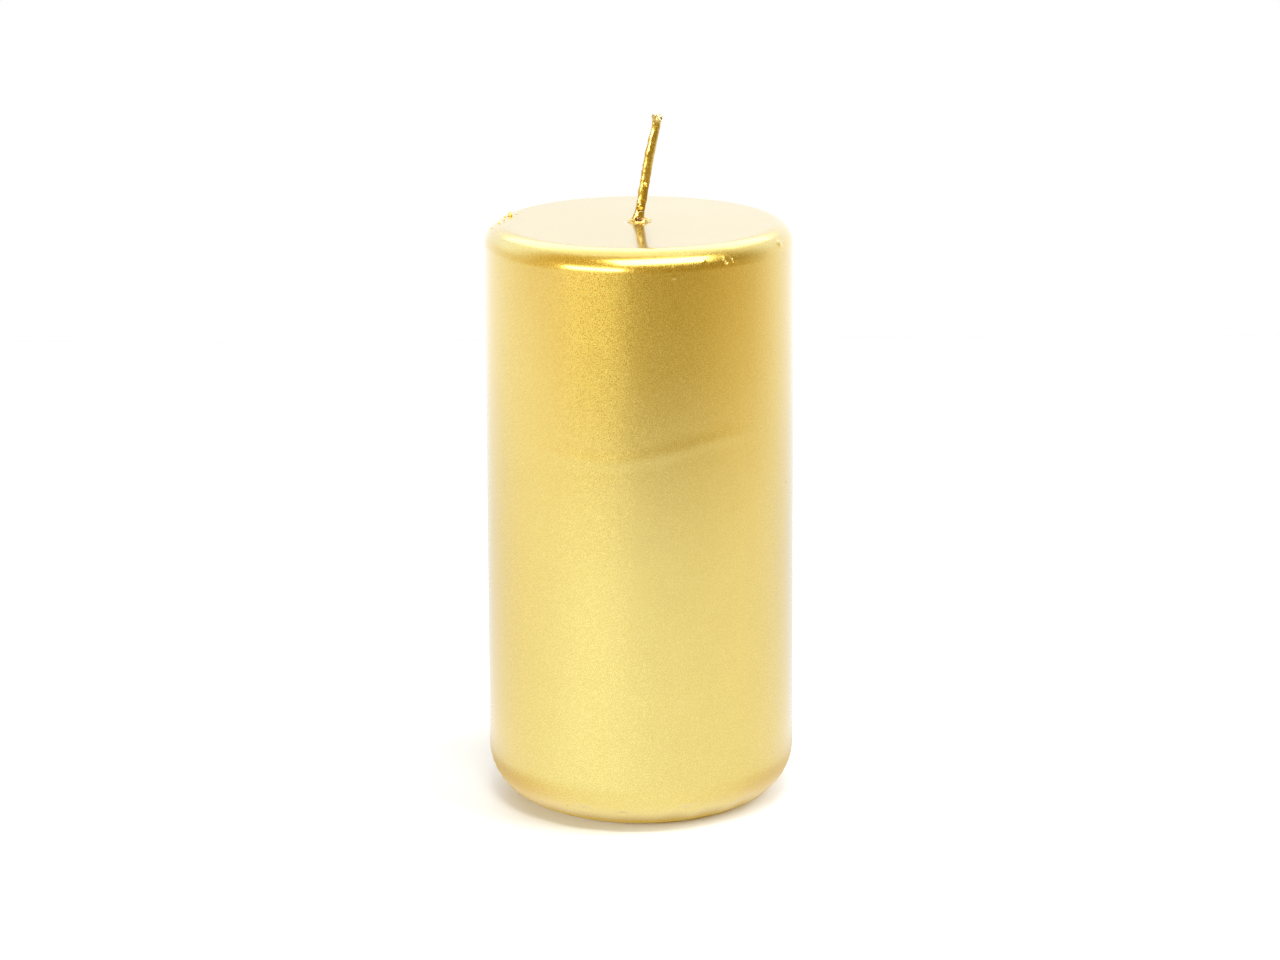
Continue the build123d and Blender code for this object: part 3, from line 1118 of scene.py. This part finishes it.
# Lights: name, azimuth, elevation, distance, width, height, radiance. The softboxes are seen in
# the lacquer, and the lamps light the floor
SOFTBOXES = [
    ("left_softbox", -32.5, 7.5, 1.3, 1.00, 0.34, 7.0),
    ("right_softbox", 21.0, 51.0, 1.3, 1.46, 0.66, 6.5),
    ("back_softbox", 180.0, 50.0, 1.3, 1.60, 0.76, 1.6),
]
LAMPS = [
    ("front_lamp", 6.0, 65.0, 1.0, 0.26, 0.05, 92.0),
    ("side_lamp", 76.0, 36.0, 1.0, 0.70, 0.70, 7.2),
    ("fill_lamp", -30.0, 18.0, 1.3, 1.60, 0.40, 9.0),
    ("ceiling_lamp", 180.0, 74.0, 3.0, 5.0, 5.0, 1.15),
]


def build_lights():
    """Area lights that all aim at the middle of the candle."""
    aim = Vector((0, 0, HEIGHT * MM / 2))
    for spec in SOFTBOXES + LAMPS:
        name, azimuth, elevation, distance, width, height, radiance = spec
        light = bpy.data.lights.new(name, "AREA")
        light.shape = "RECTANGLE"
        light.size = width
        light.size_y = height
        light.energy = radiance * math.pi * width * height
        lamp = bpy.data.objects.new(name, light)
        toward = pointing(math.radians(azimuth), math.radians(elevation))
        lamp.location = aim + distance * Vector(toward)
        lamp.rotation_euler = (aim - lamp.location).to_track_quat("-Z", "Y").to_euler()
        lamp.visible_camera = False
        lamp.visible_glossy = spec in SOFTBOXES
        lamp.visible_diffuse = spec in LAMPS
        bpy.context.scene.collection.objects.link(lamp)


CAMERA_DISTANCE = 24 * 33.8   # from the middle of the candle: 24 radii
CAMERA_ELEVATION = 15.57      # angles are in degrees
CAMERA_PITCH = 15.12
CAMERA_ROLL = -0.277
CAMERA_LENS = 102.62


def build_camera():
    """Camera in front, whose pitch and roll set the candle's place in the frame."""
    camera = bpy.data.cameras.new("camera")
    camera.lens = CAMERA_LENS
    camera.sensor_width = 36.0
    camera.clip_start = 0.01
    holder = bpy.data.objects.new("camera", camera)
    up = math.radians(CAMERA_ELEVATION)
    holder.location = (
        0.0,
        -CAMERA_DISTANCE * math.cos(up) * MM,
        (HEIGHT / 2 + CAMERA_DISTANCE * math.sin(up)) * MM,
    )
    level = Euler((math.radians(90 - CAMERA_PITCH), 0, 0)).to_matrix()
    roll = Euler((0, 0, math.radians(CAMERA_ROLL))).to_matrix()
    holder.rotation_euler = (level @ roll).to_euler()
    bpy.context.scene.collection.objects.link(holder)
    bpy.context.scene.camera = holder


build_floor()
build_world()
build_lights()
build_camera()
bpy.context.scene.view_settings.view_transform = "Standard"
